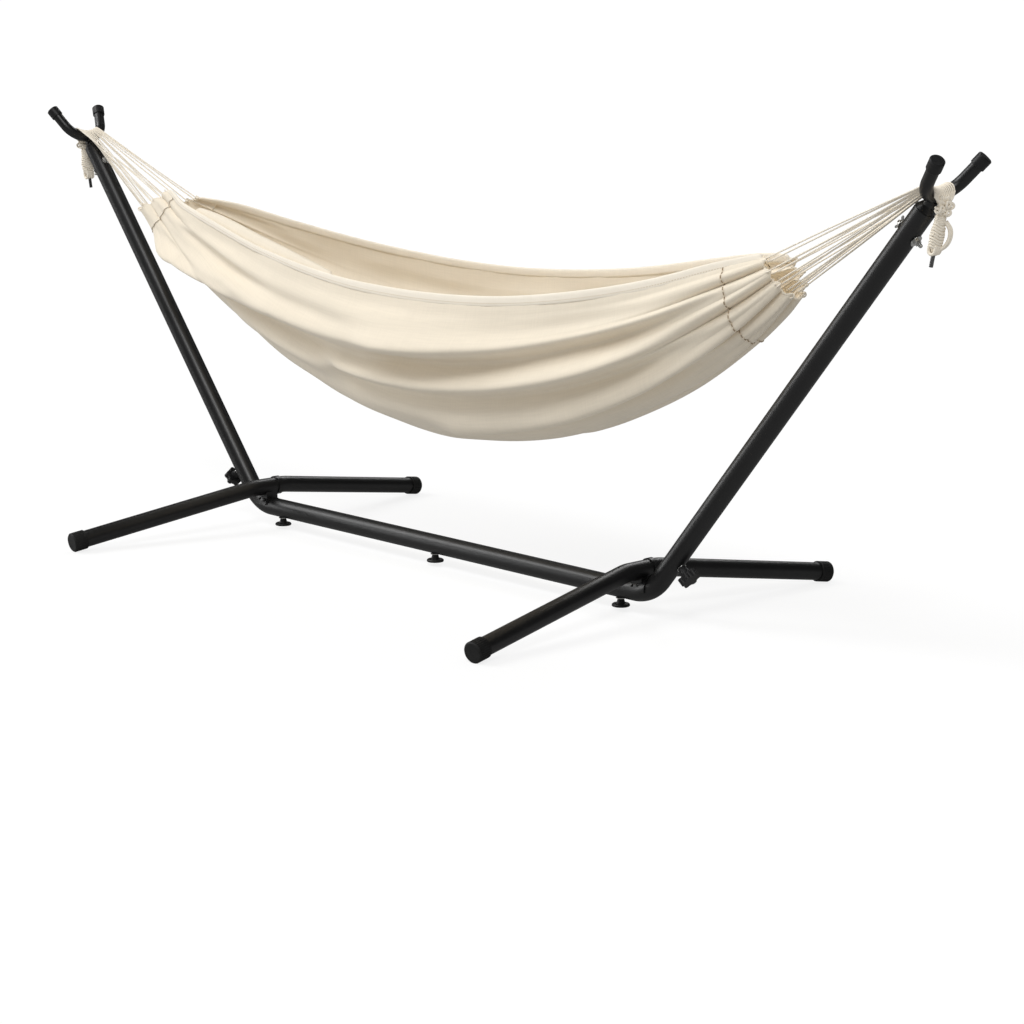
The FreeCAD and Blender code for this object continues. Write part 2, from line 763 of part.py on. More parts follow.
def curve_through(points):
    """A smooth curve through a few points."""
    curve = Part.BSplineCurve()
    curve.interpolate(points)
    return curve


def make_bed():
    """The bed as an open trough of cloth, its two gathered end bands and its two hems."""
    wires = []
    for section in BED_SECTIONS:
        outer = section_points(section, 0.0)
        inner = section_points(section, size("fabric"))[::-1]
        wires.append(Part.Wire([
            curve_through(outer).toShape(),
            Part.LineSegment(outer[-1], inner[0]).toShape(),
            curve_through(inner).toShape(),
            Part.LineSegment(inner[-1], outer[0]).toShape(),
        ]))
    trough = doc.addObject("Part::Feature", "trough")
    trough.Shape = Part.makeLoft(wires, True, True)
    left = end_block(BED_SECTIONS[0], BED_SECTIONS[1], 1)
    right = end_block(BED_SECTIONS[-1], BED_SECTIONS[-2], -1)
    for name, end in (("left_end_band", left), ("right_end_band", right)):
        band = doc.addObject("Part::Common", name)
        band.Base = trough
        band.Tool = end
        keep(band, name)
    keep(cut(trough, left, right), "hammock_bed")
    for name, side, height in (("near_hem", -1, 3), ("far_hem", 1, 4)):
        keep(make_hem(name, side, height), name)


def end_block(end, nextdoor, inward):
    """A box over one end of the bed, whose inner face is a band's length in from the end."""
    marks = []
    for place, heights in ((0, (3, 4)), (1, (5,))):
        x = end[place] + inward * size("band_length")
        share = (x - end[place]) / (nextdoor[place] - end[place])
        z_end, z_next = (sum(row[i] for i in heights) / len(heights) for row in (end, nextdoor))
        marks.append(V(x, 0, z_end + (z_next - z_end) * share))
    slope = (marks[1] - marks[0]).normalize()
    outward = Y_AXIS.cross(slope) * inward
    cover = block("800", "400", "400", V(0, 0, 0))
    cover.Placement = framed(marks[0] - slope * 400 + Y_AXIS * (200 * inward), slope, outward)
    return cover


def make_hem(name, side, height):
    """A flat strip of doubled cloth that stands on one edge of the bed."""
    wires = []
    for section in BED_SECTIONS:
        outer = side * section[2]
        inner = side * (section[2] - size("fabric"))
        top = section[height]
        low = top - size("hem_height")
        x = edge_x(section, low)
        corners = [V(x, y, z) for y, z in ((outer, low), (outer, top), (inner, top), (inner, low))]
        wires.append(Part.makePolygon(corners + corners[:1]))
    hem = doc.addObject("Part::Feature", name + "_strip")
    hem.Shape = Part.makeLoft(wires, True, True)
    return hem


def saddle_point(side, fan, low, reach):
    """Where a cord drawn from a low point meets the fork, fanned round the fork's bend."""
    foot = V(side * HORN_FOOT.x, 0, HORN_FOOT.z)
    rise = V(side * ARM.x, 0, ARM.z) * (size("horn_radius") * (1 - math.cos(fan)))
    middle = foot + rise + Y_AXIS * (size("horn_radius") * math.sin(fan))
    run = V(middle.x - low.x, 0, middle.z - low.z).normalize()
    return middle + V(-side * run.z, 0, abs(run.x)) * reach


def make_cords():
    """The cords from each end of the bed to its fork, drawn tight by the bed's weight."""
    count = int(size("cord_count"))
    for name, side, section in (("left", -1, BED_SECTIONS[0]), ("right", 1, BED_SECTIONS[-1])):
        edge = curve_through(section_points(section, size("fabric") / 2))
        ends = edge.discretize(count)
        cords = []
        for i, low in enumerate(ends):
            fan = math.radians(size("cord_fan")) * (2.0 * i / (count - 1) - 1)
            high = saddle_point(side, fan, low, (size("horn_od") + size("strap")) / 2 + 0.8)
            way = (high - low).normalize()
            start = low + way * 1.5
            length = "%.6f" % ((high - start).Length - 4.0)
            cords.append(rod("cord_od / 2", length, start, way))
        keep(group(*cords), name + "_suspension_cords")


CORD_RISE = math.radians(31.0)


def make_saddle_band():
    """The cords side by side where they pass over the fork, as one thick strap."""
    centre = HORN_FOOT + ARM * size("horn_radius")
    inside = size("horn_od") / 2 + 0.05
    outside = size("horn_od") / 2 + size("strap")
    start = math.pi / 2 + CORD_RISE
    arcs = []
    for radius in (inside, outside):
        marks = [HORN_FOOT + V(math.cos(a), 0, math.sin(a)) * radius for a in (start, start / 2, 0.0)]
        arcs.append((marks[0], marks[-1], Part.Arc(*marks).toShape()))
    sides = [Part.LineSegment(arcs[0][i], arcs[1][i]).toShape() for i in (0, 1)]
    face = Part.Face(Part.Wire(Part.__sortEdges__([arcs[0][2], sides[1], arcs[1][2], sides[0]])))
    fan = size("cord_fan") + 1.5
    axis = ARM.cross(Y_AXIS)
    face.rotate(centre, axis, -fan)
    band = doc.addObject("Part::Feature", "band")
    band.Shape = face.revolve(centre, axis, 2 * fan)
    both_sides(band, "saddle_band")


def make_hank():
    """The wrapped loop of the cords' ends that leans on the hook's outer side, and its steel pin."""
    levels = ((0.0, 0.55), (0.12, 0.9), (0.4, 1.0), (0.75, 0.92), (0.94, 0.7), (1.0, 0.4))
    lean = math.radians(size("hank_lean"))
    down = V(-math.sin(lean), 0, -math.cos(lean))
    top = V(size("hank_x"), 0, size("hank_top"))
    wires = []
    for depth, share in levels:
        ellipse = Part.Ellipse(V(0, 0, 0), size("hank_width") / 2 * share, size("hank_depth") / 2 * share)
        wire = Part.Wire(ellipse.toShape())
        wire.Placement = framed(top + down * (depth * size("hank_length")), Y_AXIS, down)
        wires.append(wire)
    hank = doc.addObject("Part::Feature", "hank")
    hank.Shape = Part.makeLoft(wires, True, False)
    foot = top + down * (size("hank_length") + size("pin_drop"))
    both_sides(cut(hank, rod("pin_od / 2", "pin_length", foot, -down)), "hank")
    both_sides(rod("pin_od / 2", "pin_length", foot, -down), "hank_pin")


# ---------------------------------------------------------------- build, test and write

def check(obj):
    """Stop if a sub-part's shape is missing or broken."""
    if obj.Shape.isNull() or not obj.Shape.isValid() or not obj.Shape.Solids:
        raise RuntimeError("bad shape: " + obj.Label)


def main():
    """Build every sub-part, test them all, and write one file for each."""
    make_beam()
    make_elbows()
    make_arms()
    make_legs()
    make_collars()
    make_leg_caps()
    make_saddles()
    make_saddle_screws()
    make_horns()
    make_neck()
    make_horn_caps()
    make_hook_bolts()
    make_wing_nuts()
    make_disc_feet()
    make_star_knobs()
    make_bed()
    make_cords()
    make_saddle_band()
    make_hank()
    doc.recompute()
    for obj in doc.Objects:
        if "Invalid" in obj.State or "Error" in obj.State:
            raise RuntimeError("failed object: " + obj.Label)
    os.makedirs("parts", exist_ok=True)
    for obj in parts:
        check(obj)
    for obj in parts:
        obj.Shape.exportStep("parts/%s.step" % obj.Label)
        box = obj.Shape.optimalBoundingBox()
        print("%-24s %2d solids %12.1f mm3  z %.2f to %.2f" % (
            obj.Label, len(obj.Shape.Solids), obj.Shape.Volume, box.ZMin, box.ZMax))
    print(len(parts), "sub-parts")


main()
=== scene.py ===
"""The hammock on its stand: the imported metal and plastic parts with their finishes, and the
cords, cloth, hems and wrapped hanks modelled in detail. Every length is in metres."""
import json
import math

import bpy
import numpy as np
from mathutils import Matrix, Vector, noise


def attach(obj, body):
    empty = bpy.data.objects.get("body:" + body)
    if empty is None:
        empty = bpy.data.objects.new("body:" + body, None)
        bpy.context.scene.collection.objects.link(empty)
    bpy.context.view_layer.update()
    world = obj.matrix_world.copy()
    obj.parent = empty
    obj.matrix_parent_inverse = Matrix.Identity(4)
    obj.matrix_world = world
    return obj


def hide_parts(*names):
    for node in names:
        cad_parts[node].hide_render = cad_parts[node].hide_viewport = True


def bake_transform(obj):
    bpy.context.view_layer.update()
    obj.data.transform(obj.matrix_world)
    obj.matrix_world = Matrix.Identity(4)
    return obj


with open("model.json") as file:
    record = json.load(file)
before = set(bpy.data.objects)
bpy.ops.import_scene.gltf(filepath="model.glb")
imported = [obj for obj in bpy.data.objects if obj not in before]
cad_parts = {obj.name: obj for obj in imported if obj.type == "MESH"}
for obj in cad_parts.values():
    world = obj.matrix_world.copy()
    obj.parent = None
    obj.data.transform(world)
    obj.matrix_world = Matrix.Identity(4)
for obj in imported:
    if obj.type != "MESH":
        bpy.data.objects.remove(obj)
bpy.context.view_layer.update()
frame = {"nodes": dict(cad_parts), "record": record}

SIDES = (("left", -1), ("right", 1))
UP = Vector((0, 0, 1))
ACROSS = Vector((0, 1, 0))


# ---------------------------------------------------------------- camera

CAMERA_PLACE, CAMERA_DIP, CAMERA_TURN = (4.4138, -3.8659, 1.3089), 0.1984, 0.8227  # metres and radians
LENS, SENSOR_WIDTH = 89.94, 36.0  # millimetres

camera = bpy.data.objects.new("camera", bpy.data.cameras.new("camera"))
bpy.context.scene.collection.objects.link(camera)
camera.location = CAMERA_PLACE
camera.rotation_euler = (math.pi / 2 - CAMERA_DIP, 0.0, CAMERA_TURN)
camera.data.lens = LENS
camera.data.sensor_width = SENSOR_WIDTH
bpy.context.scene.camera = camera


# ---------------------------------------------------------------- materials

class Nodes:
    """A material's node tree, with short ways to add to it."""

    def __init__(self, name, colour, roughness, metallic=0.0, sheen=0.0):
        self.material = bpy.data.materials.new(name)
        self.material.use_nodes = True
        self.material.diffuse_color = (*colour, 1.0)
        self.tree = self.material.node_tree
        self.shader = self.tree.nodes["Principled BSDF"]
        self.shader.inputs["Base Color"].default_value = (*colour, 1.0)
        self.shader.inputs["Roughness"].default_value = roughness
        self.shader.inputs["Metallic"].default_value = metallic
        if sheen:
            self.shader.inputs["Sheen Weight"].default_value = sheen
            self.shader.inputs["Sheen Roughness"].default_value = 0.5
        self.colour, self.roughness = colour, roughness

    def add(self, kind, **inputs):
        node = self.tree.nodes.new(kind)
        for key, value in inputs.items():
            socket = node.inputs[key.replace("_", " ")]
            if isinstance(value, bpy.types.NodeSocket):
                self.tree.links.new(value, socket)
            else:
                socket.default_value = value
        return node

    def math(self, operation, a, b=None):
        node = self.tree.nodes.new("ShaderNodeMath")
        node.operation = operation
        for socket, value in zip(node.inputs, (a, b)):
            if isinstance(value, bpy.types.NodeSocket):
                self.tree.links.new(value, socket)
            elif value is not None:
                socket.default_value = value
        return node.outputs[0]

    def place(self, uv, stretch=(1, 1, 1)):
        """Coordinates in metres, from the thread UVs or from the object, stretched."""
        coords = self.tree.nodes.new("ShaderNodeTexCoord")
        source = coords.outputs["UV" if uv else "Object"]
        scale = self.add("ShaderNodeMapping", Vector=source, Scale=stretch)
        return scale.outputs["Vector"]

    def noise(self, place, scale, detail=3.0):
        return self.add("ShaderNodeTexNoise", Vector=place, Scale=scale, Detail=detail).outputs["Fac"]

    def shade(self, factor, dark, light, low=0.3, high=0.7):
        """The base colour runs from dark to light as the factor goes from low to high."""
        ramp = self.add("ShaderNodeValToRGB", Fac=factor)
        ramp.color_ramp.elements[0].position, ramp.color_ramp.elements[1].position = low, high
        ramp.color_ramp.elements[0].color = (*(c * dark for c in self.colour), 1.0)
        ramp.color_ramp.elements[1].color = (*(min(1.0, c * light) for c in self.colour), 1.0)
        self.tree.links.new(ramp.outputs["Color"], self.shader.inputs["Base Color"])

    def mix(self, factor, off, on):
        """The base colour is off, a socket or a colour, and turns to the colour on where the factor is 1."""
        node = self.tree.nodes.new("ShaderNodeMix")
        node.data_type = "RGBA"
        self.tree.links.new(factor, node.inputs["Factor"])
        colour_off, colour_on, mixed = node.inputs[6], node.inputs[7], node.outputs[2]
        if isinstance(off, bpy.types.NodeSocket):
            self.tree.links.new(off, colour_off)
        else:
            colour_off.default_value = (*off, 1.0)
        colour_on.default_value = (*on, 1.0)
        self.tree.links.new(mixed, self.shader.inputs["Base Color"])

    def rough(self, factor, spread):
        """The roughness wanders by a spread either side of its plain value."""
        low, high = self.roughness - spread, self.roughness + spread
        span = self.add("ShaderNodeMapRange", Value=factor, To_Min=low, To_Max=high)
        self.tree.links.new(span.outputs["Result"], self.shader.inputs["Roughness"])

    def bump(self, height, distance, strength):
        node = self.add("ShaderNodeBump", Height=height, Distance=distance, Strength=strength)
        self.tree.links.new(node.outputs["Normal"], self.shader.inputs["Normal"])


def hard(name, colour, roughness, tone, gloss, grain, specular=None, metallic=0.0):
    """A hard finish whose tone, gloss and grain each vary with a noise of their own scale.

    tone is (scale, darkest, lightest), gloss is (scale, spread) and grain is (scale, height, strength).
    """
    m = Nodes(name, colour, roughness, metallic)
    if specular is not None:
        m.shader.inputs["Specular IOR Level"].default_value = specular
    place = m.place(False)
    m.shade(m.noise(place, tone[0]), tone[1], tone[2])
    m.rough(m.noise(place, gloss[0]), gloss[1])
    m.bump(m.noise(place, grain[0], 2.0), grain[1], grain[2])
    return m.material


THREAD = 0.0021  # pitch of the visible weave, in metres


def cloth(name, colour):
    """Plain-woven natural cotton: crossing threads and uneven slubs."""
    m = Nodes(name, colour, 0.92, sheen=0.12)
    place = m.place(True)
    parts = m.add("ShaderNodeSeparateXYZ", Vector=place)
    warp = m.math("SINE", m.math("MULTIPLY", parts.outputs["X"], 2 * math.pi / THREAD))
    weft = m.math("SINE", m.math("MULTIPLY", parts.outputs["Y"], 2 * math.pi / THREAD))
    weave = m.math("MULTIPLY", warp, weft)
    slub = m.noise(m.place(True, (260.0, 14.0, 1.0)), 1.0, 2.0)
    cross_slub = m.noise(m.place(True, (14.0, 260.0, 1.0)), 1.0, 2.0)
    patch = m.noise(m.place(False), 7.0, 4.0)
    tone = m.math("ADD", m.math("MULTIPLY", slub, 0.4), m.math("MULTIPLY", cross_slub, 0.3))
    tone = m.math("ADD", tone, m.math("MULTIPLY", patch, 0.3))
    m.shade(tone, 0.965, 1.025, 0.38, 0.62)
    height = m.math("ADD", m.math("MULTIPLY", weave, 0.35), m.math("ADD", slub, cross_slub))
    m.bump(height, 0.0004, 0.3)
    return m


def dashes(m, per_metre, share):
    """1 along the stitches and 0 in the gaps between them."""
    run = m.add("ShaderNodeSeparateXYZ", Vector=m.place(True)).outputs["Y"]
    return m.math("LESS_THAN", m.math("FRACT", m.math("MULTIPLY", run, per_metre)), share)


def hem_cloth():
    """The hem's doubled cloth, coloured lighter than the canvas as painted light on the hem, with a line of
    stitches near its lower edge whose darker dashes are painted stitch shadow.
    """
    stitches_down, stitches_width = 0.0030, 0.0009
    # painted light: the hem's base colour is lighter than the canvas's, for the light that the hem strip
    # catches
    m = cloth("hem_cloth", (0.92, 0.85, 0.73))
    rise = m.add("ShaderNodeSeparateXYZ", Vector=m.place(True)).outputs["X"]
    off_line = m.math("ABSOLUTE", m.math("ADD", rise, stitches_down))
    on_line = m.math("LESS_THAN", off_line, stitches_width)
    # painted stitch shadow: a dashed darker line along the stitches near the hem's lower edge
    hem_stitch_shadow = m.math("MULTIPLY", on_line, dashes(m, 150.0, 0.68))
    m.mix(hem_stitch_shadow, m.shader.inputs["Base Color"].links[0].from_socket, (0.74, 0.64, 0.49))
    return m.material


STRANDS, TWISTS_PER_METRE = 3.0, 160.0


def cord_cotton():
    """Cotton cord, with its strands laid in a steep twist, its colour darker in the grooves between strands
    and lighter on their crowns as painted shade and light, with random fuzz.
    """
    m = Nodes("cord", (0.88, 0.81, 0.69), 0.9, sheen=0.1)
    place = m.place(True)
    parts = m.add("ShaderNodeSeparateXYZ", Vector=place)
    around = m.math("MULTIPLY", parts.outputs["X"], STRANDS)
    turn = m.math("ADD", around, m.math("MULTIPLY", parts.outputs["Y"], TWISTS_PER_METRE))
    strand = m.math("ABSOLUTE", m.math("SINE", m.math("MULTIPLY", turn, math.pi)))
    fuzz = m.noise(m.place(False), 700.0, 2.0)
    tone = m.math("ADD", m.math("MULTIPLY", strand, 0.7), m.math("MULTIPLY", fuzz, 0.3))
    # painted shade and light: darker in the grooves between strands, lighter on their crowns
    m.shade(tone, 0.96, 1.02, 0.1, 0.7)
    m.bump(tone, 0.0002, 0.10)
    return m.material


def seam_stitches_and_shadow():
    """Short stitches along a seam: dark brown dashes, painted stitch shadow, on a pale ground."""
    m = Nodes("seam_stitches_and_shadow", (0.36, 0.27, 0.17), 0.85)
    # painted stitch shadow: dark brown dashes along the seam
    m.mix(dashes(m, 95.0, 0.62), (0.80, 0.71, 0.57), m.colour)
    m.bump(m.noise(m.place(False), 900.0, 2.0), 0.0002, 0.3)
    return m.material


FINISH = {
    "black_tube": hard("black_tube", (0.0035, 0.0035, 0.0038), 0.40, (14.0, 0.8, 1.3), (60.0, 0.04),
                       (900.0, 0.0001, 0.10), specular=0.6),
    "black_rubber": hard("black_rubber", (0.009, 0.009, 0.009), 0.62, (40.0, 0.7, 1.6), (90.0, 0.08),
                         (1200.0, 0.0003, 0.4), specular=0.3),
    "black_plastic": hard("black_plastic", (0.009, 0.009, 0.0095), 0.45, (50.0, 0.8, 1.4), (70.0, 0.06),
                          (1500.0, 0.0002, 0.35), specular=0.35),
    "zinc": hard("zinc", (0.66, 0.66, 0.64), 0.3, (180.0, 0.78, 1.1), (260.0, 0.12),
                 (900.0, 0.0002, 0.3), metallic=1.0),
    "canvas": cloth("canvas", (0.85, 0.765, 0.625)).material,
    "hem_cloth": hem_cloth(),
    "cord": cord_cotton(),
}
for row in frame["record"]["subparts"]:
    slots = frame["nodes"][row["node"]].data.materials
    slots.clear()
    slots.append(FINISH[row["material_slot"]])

SEAM_STITCHES_AND_SHADOW = seam_stitches_and_shadow()
PIN_STEEL = hard("dark_steel", (0.20, 0.20, 0.20), 0.28, (220.0, 0.7, 1.2), (300.0, 0.1),
                 (900.0, 0.0002, 0.3), metallic=1.0)
for node in frame["nodes"]:
    if node.endswith("_pin"):
        frame["nodes"][node].data.materials[0] = PIN_STEEL


# ---------------------------------------------------------------- mesh helpers

def add_mesh(name, points, faces, slot, uv):
    """A smooth mesh object from its points and faces, with the finish of one slot of the record."""
    mesh = bpy.data.meshes.new(name)
    mesh.from_pydata([tuple(p) for p in points], [], faces)
    layer = mesh.uv_layers.new(name="thread")
    loops = np.empty(len(mesh.loops), dtype=np.int32)
    mesh.loops.foreach_get("vertex_index", loops)
    layer.data.foreach_set("uv", np.asarray(uv, dtype=np.float32)[loops].ravel())
    mesh.polygons.foreach_set("use_smooth", [True] * len(mesh.polygons))
    mesh.materials.append(FINISH[slot])
    mesh.validate()
    obj = bpy.data.objects.new(name, mesh)
    bpy.context.scene.collection.objects.link(obj)
    return obj


def route_points(route, resolution=10):
    """Points of the smooth spline that a route's points control."""
    data = bpy.data.curves.new("route", "CURVE")
    data.dimensions = "3D"
    spline = data.splines.new("NURBS")
    spline.points.add(len(route) - 1)
    for point, place in zip(spline.points, route):
        point.co = (*place, 1.0)
    spline.order_u = 3
    spline.use_endpoint_u = True
    spline.resolution_u = resolution
    obj = bpy.data.objects.new("route", data)
    bpy.context.scene.collection.objects.link(obj)
    bpy.context.view_layer.update()
    mesh = bpy.data.meshes.new_from_object(obj)
    points = [Vector(v.co) for v in mesh.vertices]
    bpy.data.objects.remove(obj)
    bpy.data.curves.remove(data)
    bpy.data.meshes.remove(mesh)
    return points


def tube_parts(points, radius, sides=8, first=0):
    """Points, faces and UVs of a closed tube along a line."""
    verts, faces, uv = [], [], []
    way = (points[1] - points[0]).normalized()
    side = way.orthogonal().normalized()
    length = 0.0
    for k, point in enumerate(points):
        ahead = (points[min(k + 1, len(points) - 1)] - points[max(k - 1, 0)]).normalized()
        side = (side - ahead * side.dot(ahead)).normalized()
        other = ahead.cross(side)
        if k:
            length += (point - points[k - 1]).length
        for j in range(sides):
            turn = 2 * math.pi * j / sides
            verts.append(point + (side * math.cos(turn) + other * math.sin(turn)) * radius)
            uv.append((j / sides, length))
    for k in range(len(points) - 1):
        for j in range(sides):
            a, b = first + k * sides + j, first + k * sides + (j + 1) % sides
            faces.append((a, b, b + sides, a + sides))
    last = first + (len(points) - 1) * sides
    faces.append(tuple(first + j for j in reversed(range(sides))))
    faces.append(tuple(last + j for j in range(sides)))
    return verts, faces, uv


def tubes(name, lines, radius, slot, sides=8):
    """One mesh of several tubes."""
    verts, faces, uv = [], [], []
    for line in lines:
        v, f, t = tube_parts(line, radius, sides, len(verts))
        verts += v
        faces += f
        uv += t
    return add_mesh(name, verts, faces, slot, uv)


# ---------------------------------------------------------------- the bed's shape

# each section: X of its hem and of its belly, half its width, heights of its near hem, far hem and belly
BED_SECTIONS = (
    (-0.992, -1.155, 0.058, 0.824, 0.818, 0.772), (-0.880, -0.985, 0.084, 0.812, 0.803, 0.663),
    (-0.700, -0.740, 0.122, 0.781, 0.768, 0.543), (-0.450, -0.460, 0.168, 0.737, 0.728, 0.424),
    (0.000, 0.000, 0.205, 0.684, 0.698, 0.328), (0.450, 0.450, 0.168, 0.691, 0.729, 0.372),
    (0.760, 0.775, 0.108, 0.745, 0.777, 0.503), (0.930, 0.960, 0.066, 0.794, 0.803, 0.623),
    (1.030, 1.086, 0.038, 0.818, 0.812, 0.735),
)
# a section's line from the near hem to the far one, in shares of its half width and of its depth
SECTION_SHAPE = (
    (-1.0, 0.0), (-1.06, 0.33), (-0.74, 0.83), (0.0, 1.0), (0.74, 0.83), (1.06, 0.33), (1.0, 0.0),
)
HEM_HEIGHT, FABRIC = 0.016, 0.004
CORDS, PAIRS = 16, 8


def through(knots, values, at):
    """A smooth curve through values at knots, read at other places."""
    knots, values = np.asarray(knots, float), np.asarray(values, float)
    slopes = np.gradient(values, knots, axis=0)
    k = np.clip(np.searchsorted(knots, at) - 1, 0, len(knots) - 2)
    span = knots[k + 1] - knots[k]
    t = (at - knots[k]) / span
    shape = (-1,) + (1,) * (values.ndim - 1)
    t, span = t.reshape(shape), span.reshape(shape)
    return ((2 * t**3 - 3 * t**2 + 1) * values[k] + (t**3 - 2 * t**2 + t) * span * slopes[k]
            + (3 * t**2 - 2 * t**3) * values[k + 1] + (t**3 - t**2) * span * slopes[k + 1])


def section_curve(section, u):
    """Places on one cross-section's middle line, at shares u of its length from the near hem."""
    hem_x, belly_x, half, near, far, belly = section
    inset = FABRIC / 2
    hem_z = (near + far) / 2 - HEM_HEIGHT
    lean = (belly_x - hem_x) / (hem_z - belly)
    points = []
    for across, down in SECTION_SHAPE:
        hem = (near if across < 0 else far) - HEM_HEIGHT
        z = hem - (hem - belly - inset) * down
        points.append((hem_x + lean * (hem_z - z), across * (half - inset), z))
    points = np.array(points)
    knots = np.concatenate([[0], np.cumsum(np.linalg.norm(np.diff(points, axis=0), axis=1))])
    dense = through(knots, points, np.linspace(0, knots[-1], 240))
    run = np.concatenate([[0], np.cumsum(np.linalg.norm(np.diff(dense, axis=0), axis=1))])
    return np.stack([np.interp(u * run[-1], run, dense[:, i]) for i in range(3)], axis=-1)


ALONG = [(s[0] + s[1]) / 2 for s in BED_SECTIONS]
BED_START, BED_END = ALONG[0], ALONG[-1]


def bed_base(s, u):
    """The bed's smooth surface at places s along X and shares u across."""
    sections = through(ALONG, BED_SECTIONS, np.asarray(s, float))
    return np.stack([section_curve(section, u) for section in sections])


def fold(s, u, line, height, width):
    """A long soft fold: a roll of cloth above a line, tucked in below it. line is (place, share across)."""
    knots = [p[0] for p in line]
    centre = np.interp(s, knots, [p[1] for p in line])
    ease = 0.35 * (knots[-1] - knots[0])
    fade = np.interp(s, [knots[0], knots[0] + 0.12, knots[-1] - ease, knots[-1]], [0, 0.8, 1, 0])
    fade = fade * fade * (3 - 2 * fade)
    t = (u - centre[:, None]) / width
    return height * fade[:, None] * -1.65 * t * np.exp(-t * t / 2)


def wander(a, b, seed):
    """Slow smooth noise over a grid, about -0.5 to 0.5."""
    return np.array([[noise.noise((x, y, seed)) for y in b] for x in a])


def panel(u, sharp):
    """The cloth between two cord pairs as a rounded panel, from 1 on its crown to -1 in the tuck."""
    return 2.0 * np.abs(np.cos(math.pi * ((CORDS - 1) * u - 0.5) / 2)) ** sharp - 1.0


# each long fold: its line as (X, share across) points, its height in metres and its width as a share
FOLDS = (
    (((-1.06, 0.44), (-0.95, 0.38), (-0.86, 0.32), (-0.70, 0.255), (-0.54, 0.21), (-0.36, 0.175),
      (0.05, 0.145), (0.60, 0.14)), 0.034, 0.034),
    (((-1.02, 0.36), (-0.75, 0.33), (-0.50, 0.30), (-0.20, 0.27), (0.1, 0.25)), 0.008, 0.030),
    (((-0.95, 0.12), (-0.6, 0.10), (-0.2, 0.085), (0.35, 0.08)), 0.009, 0.022),
    (((-1.0, 0.27), (-0.85, 0.24), (-0.6, 0.17), (-0.3, 0.12)), 0.007, 0.020),
    (((-0.25, 0.24), (0.1, 0.235), (0.4, 0.235), (0.7, 0.24), (1.0, 0.27)), 0.027, 0.026),
    (((0.1, 0.38), (0.5, 0.36), (0.8, 0.36), (1.05, 0.40)), 0.022, 0.030),
    (((-0.05, 0.15), (0.3, 0.135), (0.6, 0.13), (0.85, 0.13), (1.05, 0.13)), 0.021, 0.020),
    (((-0.95, 0.62), (-0.4, 0.66), (0.2, 0.70), (0.7, 0.72)), 0.020, 0.035),
    (((-0.3, 0.60), (0.1, 0.62), (0.6, 0.64), (1.0, 0.63)), 0.014, 0.028),
    (((-0.1, 0.78), (0.3, 0.79), (0.7, 0.80), (1.0, 0.80)), 0.016, 0.024),
    (((-0.95, 0.78), (-0.5, 0.82), (0.0, 0.86), (0.6, 0.87)), 0.015, 0.028),
    (((0.35, 0.56), (0.6, 0.56), (0.8, 0.55), (1.0, 0.53)), 0.010, 0.034),
)


# the gathers at each end: where they start, their way along X, their height and their reach
GATHERS = ((BED_START, 1, 0.0085, 0.13), (BED_END, -1, 0.0165, 0.24))
BROAD_WAVES, FINE_WAVES = 0.012, 0.005
HEM_HOLD = 0.05  # share of the bed's width that a hem holds flat


def creases(s, u):
    """How far the cloth stands out of its smooth surface."""
    out = BROAD_WAVES * wander(s * 2.2, u * 4.0, 3.1) + FINE_WAVES * wander(s * 5.0, u * 18.0, 9.7)
    for start, sign, height, reach in GATHERS:
        away = np.maximum((s - start) * sign, 0.0)[:, None]
        lengths = reach * (1.0 + 1.6 * (0.5 + wander(u * 9.0, [0.3], 5.0 + sign)[:, 0]))[None, :]
        swell = np.minimum(1.0, 0.7 + away / 0.12)
        small_tucks = panel(u * 2 + 0.03, 1.0)[None, :] * np.minimum(1.0, away / 0.1)
        tucks = 0.8 * panel(u, 0.38)[None, :] + 0.2 * small_tucks
        out += height * swell * np.exp(-(away / lengths) ** 1.2) * tucks
    for line, height, width in FOLDS:
        out += fold(s, u, line, height, width)
    hold = np.minimum(1.0, np.minimum(u, 1 - u) / HEM_HOLD)
    return out * hold[None, :]


ROWS, COLUMNS = ((420, 240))
TABLE_S = np.linspace(BED_START, BED_END, ROWS)
TABLE_U = np.linspace(0, 1, COLUMNS)
BASE = bed_base(TABLE_S, TABLE_U)
ACROSS_WAY = np.gradient(BASE, TABLE_U, axis=1)
ALONG_WAY = np.gradient(BASE, TABLE_S, axis=0)
NORMAL = np.cross(ACROSS_WAY, ALONG_WAY)
NORMAL /= np.linalg.norm(NORMAL, axis=2, keepdims=True)
if NORMAL[ROWS // 2, COLUMNS // 2, 2] > 0:
    NORMAL = -NORMAL
BED = BASE + NORMAL * creases(TABLE_S, TABLE_U)[:, :, None]
# the near corner of the left end is drawn up by its cords into a rounded dome
DOME_HEIGHT, DOME_IN, DOME_LENGTH, DOME_WIDTH = 0.022, 0.03, 0.075, 0.16
dome_along = np.exp(-((TABLE_S - BED_START - DOME_IN) / DOME_LENGTH) ** 2)
dome_across = np.exp(-(TABLE_U / DOME_WIDTH) ** 2)
BED[:, :, 2] += DOME_HEIGHT * dome_along[:, None] * dome_across[None, :]


def on_bed(table, s, u):
    """Reads a table over the bed at places s and shares u, both arrays of one shape."""
    row = np.clip((np.asarray(s) - BED_START) / (BED_END - BED_START), 0, 1) * (ROWS - 1)
    col = np.clip(np.asarray(u), 0, 1) * (COLUMNS - 1)
    i, j = np.minimum(row.astype(int), ROWS - 2), np.minimum(col.astype(int), COLUMNS - 2)
    a, b = (row - i)[..., None], (col - j)[..., None]
    return ((1 - a) * (1 - b) * table[i, j] + a * (1 - b) * table[i + 1, j]
            + (1 - a) * b * table[i, j + 1] + a * b * table[i + 1, j + 1])


def scallop(u):
    """How far the cloth's end is drawn back between its cord holes."""
    return 0.011 * np.abs(np.sin(math.pi * ((CORDS - 1) * u - 0.5) / 2)) ** 1.5


